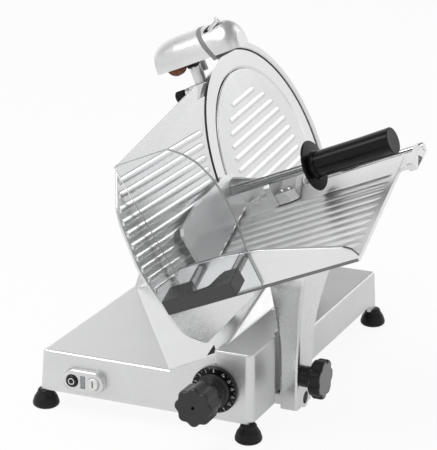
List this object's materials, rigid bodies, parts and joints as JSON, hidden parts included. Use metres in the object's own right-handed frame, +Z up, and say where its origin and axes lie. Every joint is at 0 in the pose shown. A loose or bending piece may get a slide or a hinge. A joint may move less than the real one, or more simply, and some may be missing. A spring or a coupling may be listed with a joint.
{
  "type": "meat slicer",
  "caption": "Gravity-feed meat slicer: cast base, tilted round blade, ribbed gauge plate and carriage tray with clear guard, end-weight pusher and top-mounted sharpener",
  "frame": {"origin": "middle of the footprint on the ground, at rest", "axes": "+X to the operator's right along the front face, +Y away from the operator along the carriage's travel, +Z up"},
  "size_m": [0.4342, 0.5748, 0.4504],
  "materials": {
    "cast": "satin cast and anodised",
    "polished": "brushed and anodised",
    "steel": "ground and polished stainless steel",
    "zinc": "zinc plated",
    "black": "fine moulded grain",
    "rubber": "matt",
    "grey": "fine moulded grain",
    "white": "smooth",
    "green": "circuit board",
    "clear": "clear acrylic",
    "stone": "bonded abrasive"
  },
  "bodies": {
    "base": {"base_casting": "cast", "bottom_cover": "zinc", "foot_front_left": "rubber", "foot_front_right": "rubber", "foot_rear_left": "rubber", "foot_rear_right": "rubber", "blade_housing": "cast", "ring_guard": "cast", "blade_cover": "polished", "spindle_bearing_outer": "steel", "spindle_bearing_inner": "steel", "motor": "zinc", "drive_belt": "rubber", "slice_deflector": "polished", "gauge_guide_rod": "steel", "gauge_rod_bracket": "cast", "switch_housing": "cast", "indicator_lamp": "grey", "control_board": "green", "cable_gland": "black", "carriage_guide_rod": "steel", "carriage_rod_bracket": "zinc", "support_rail": "steel"},
    "blade": {"blade": "steel", "blade_pulley": "zinc", "blade_spindle": "steel"},
    "motor_rotor": {"motor_pulley": "zinc"},
    "cover_knob": {"blade_cover_knob": "black"},
    "dial": {"dial_knob": "grey", "dial_disc": "black", "dial_cam": "zinc"},
    "gauge": {"gauge_plate": "polished", "gauge_bracket": "cast"},
    "carriage": {"carriage_slider": "cast", "carriage_arm": "cast", "carriage_tray": "polished", "hand_guard": "clear", "carriage_handle": "black", "handle_standoff_left": "steel", "handle_standoff_right": "steel", "pusher_guide_rod": "steel"},
    "lock_knob": {"carriage_lock_knob": "black"},
    "pusher_slide": {"pusher_bushing": "white"},
    "pusher": {"pusher_arm": "cast", "pusher_plate": "polished", "pusher_shaft": "steel", "pusher_grip": "black", "pusher_screw_left": "steel", "pusher_screw_right": "steel"},
    "stop_button": {"stop_button": "black"},
    "start_button": {"start_button": "white"},
    "sharpener": {"sharpener_post": "steel", "sharpener_bracket": "cast", "sharpener_cover_left": "cast", "sharpener_cover_right": "cast", "sharpener_frame": "grey"},
    "grinding_stone": {"grinding_stone": "stone"},
    "honing_stone": {"honing_stone": "stone"},
    "sharpener_button": {"sharpener_button": "steel"},
    "sharpener_knob": {"sharpener_lock_knob": "black"}
  },
  "joints": [
    {"name": "blade_spin", "type": "hinge", "parent": "base", "child": "blade", "pos_m": [-0.03175, 0.12546, 0.25511], "axis": [0.9198, 0, 0.3923], "continuous": true},
    {"name": "motor_spin", "type": "hinge", "parent": "base", "child": "motor_rotor", "pos_m": [-0.04286, 0.14827, 0.13894], "axis": [0.9198, 0, 0.3923], "continuous": true},
    {"name": "cover_knob_turn", "type": "hinge", "parent": "base", "child": "cover_knob", "pos_m": [-0.03175, 0.12546, 0.25511], "axis": [0.9198, 0, 0.3923], "range_deg": [0, 720]},
    {"name": "dial_turn", "type": "hinge", "parent": "base", "child": "dial", "pos_m": [0.03313, -0.19223, 0.0635], "axis": [0, -1, 0], "range_deg": [0, 330]},
    {"name": "gauge_slide", "type": "slide", "parent": "base", "child": "gauge", "axis": [-0.9198, 0, -0.3923], "range_m": [0, 0.015]},
    {"name": "carriage_slide", "type": "slide", "parent": "base", "child": "carriage", "axis": [0, 1, 0], "range_m": [0, 0.265]},
    {"name": "lock_knob_turn", "type": "hinge", "parent": "carriage", "child": "lock_knob", "pos_m": [0.10662, -0.09774, 0.057], "axis": [1, 0, 0], "range_deg": [0, 360]},
    {"name": "pusher_travel", "type": "slide", "parent": "carriage", "child": "pusher_slide", "axis": [0.9198, 0, 0.3923], "range_m": [0, 0.148]},
    {"name": "pusher_swing", "type": "hinge", "parent": "pusher_slide", "child": "pusher", "pos_m": [-0.02006, 0.03154, 0.22772], "axis": [-0.9198, 0, -0.3923], "range_deg": [0, 80]},
    {"name": "stop_press", "type": "slide", "parent": "base", "child": "stop_button", "axis": [0, 1, 0], "range_m": [0, 0.0025], "stiffness_N_per_m": 500},
    {"name": "start_press", "type": "slide", "parent": "base", "child": "start_button", "axis": [0, 1, 0], "range_m": [0, 0.0025], "stiffness_N_per_m": 500},
    {"name": "sharpener_lift", "type": "slide", "parent": "base", "child": "sharpener", "axis": [-0.3923, 0, 0.9198], "range_m": [0, 0.02]},
    {"name": "grinding_stone_spin", "type": "hinge", "parent": "sharpener", "child": "grinding_stone", "pos_m": [-0.13813, 0.06296, 0.38423], "axis": [0, 1, 0], "continuous": true},
    {"name": "honing_stone_spin", "type": "hinge", "parent": "sharpener", "child": "honing_stone", "pos_m": [-0.07124, 0.06396, 0.41983], "axis": [0, 1, 0], "continuous": true},
    {"name": "sharpener_press", "type": "slide", "parent": "sharpener", "child": "sharpener_button", "axis": [-0.5188, -0.2494, -0.8177], "range_m": [0, 0.003], "stiffness_N_per_m": 500},
    {"name": "sharpener_knob_turn", "type": "hinge", "parent": "base", "child": "sharpener_knob", "pos_m": [-0.10694, 0.08526, 0.35187], "axis": [0.9198, 0, 0.3923], "range_deg": [0, 360]}
  ],
  "couplings": [
    {"joint": "motor_spin", "follows": "blade_spin", "ratio": 3.115},
    {"joint": "gauge_slide", "follows": "dial_turn", "m_per_rad": 0.0026044}
  ]
}
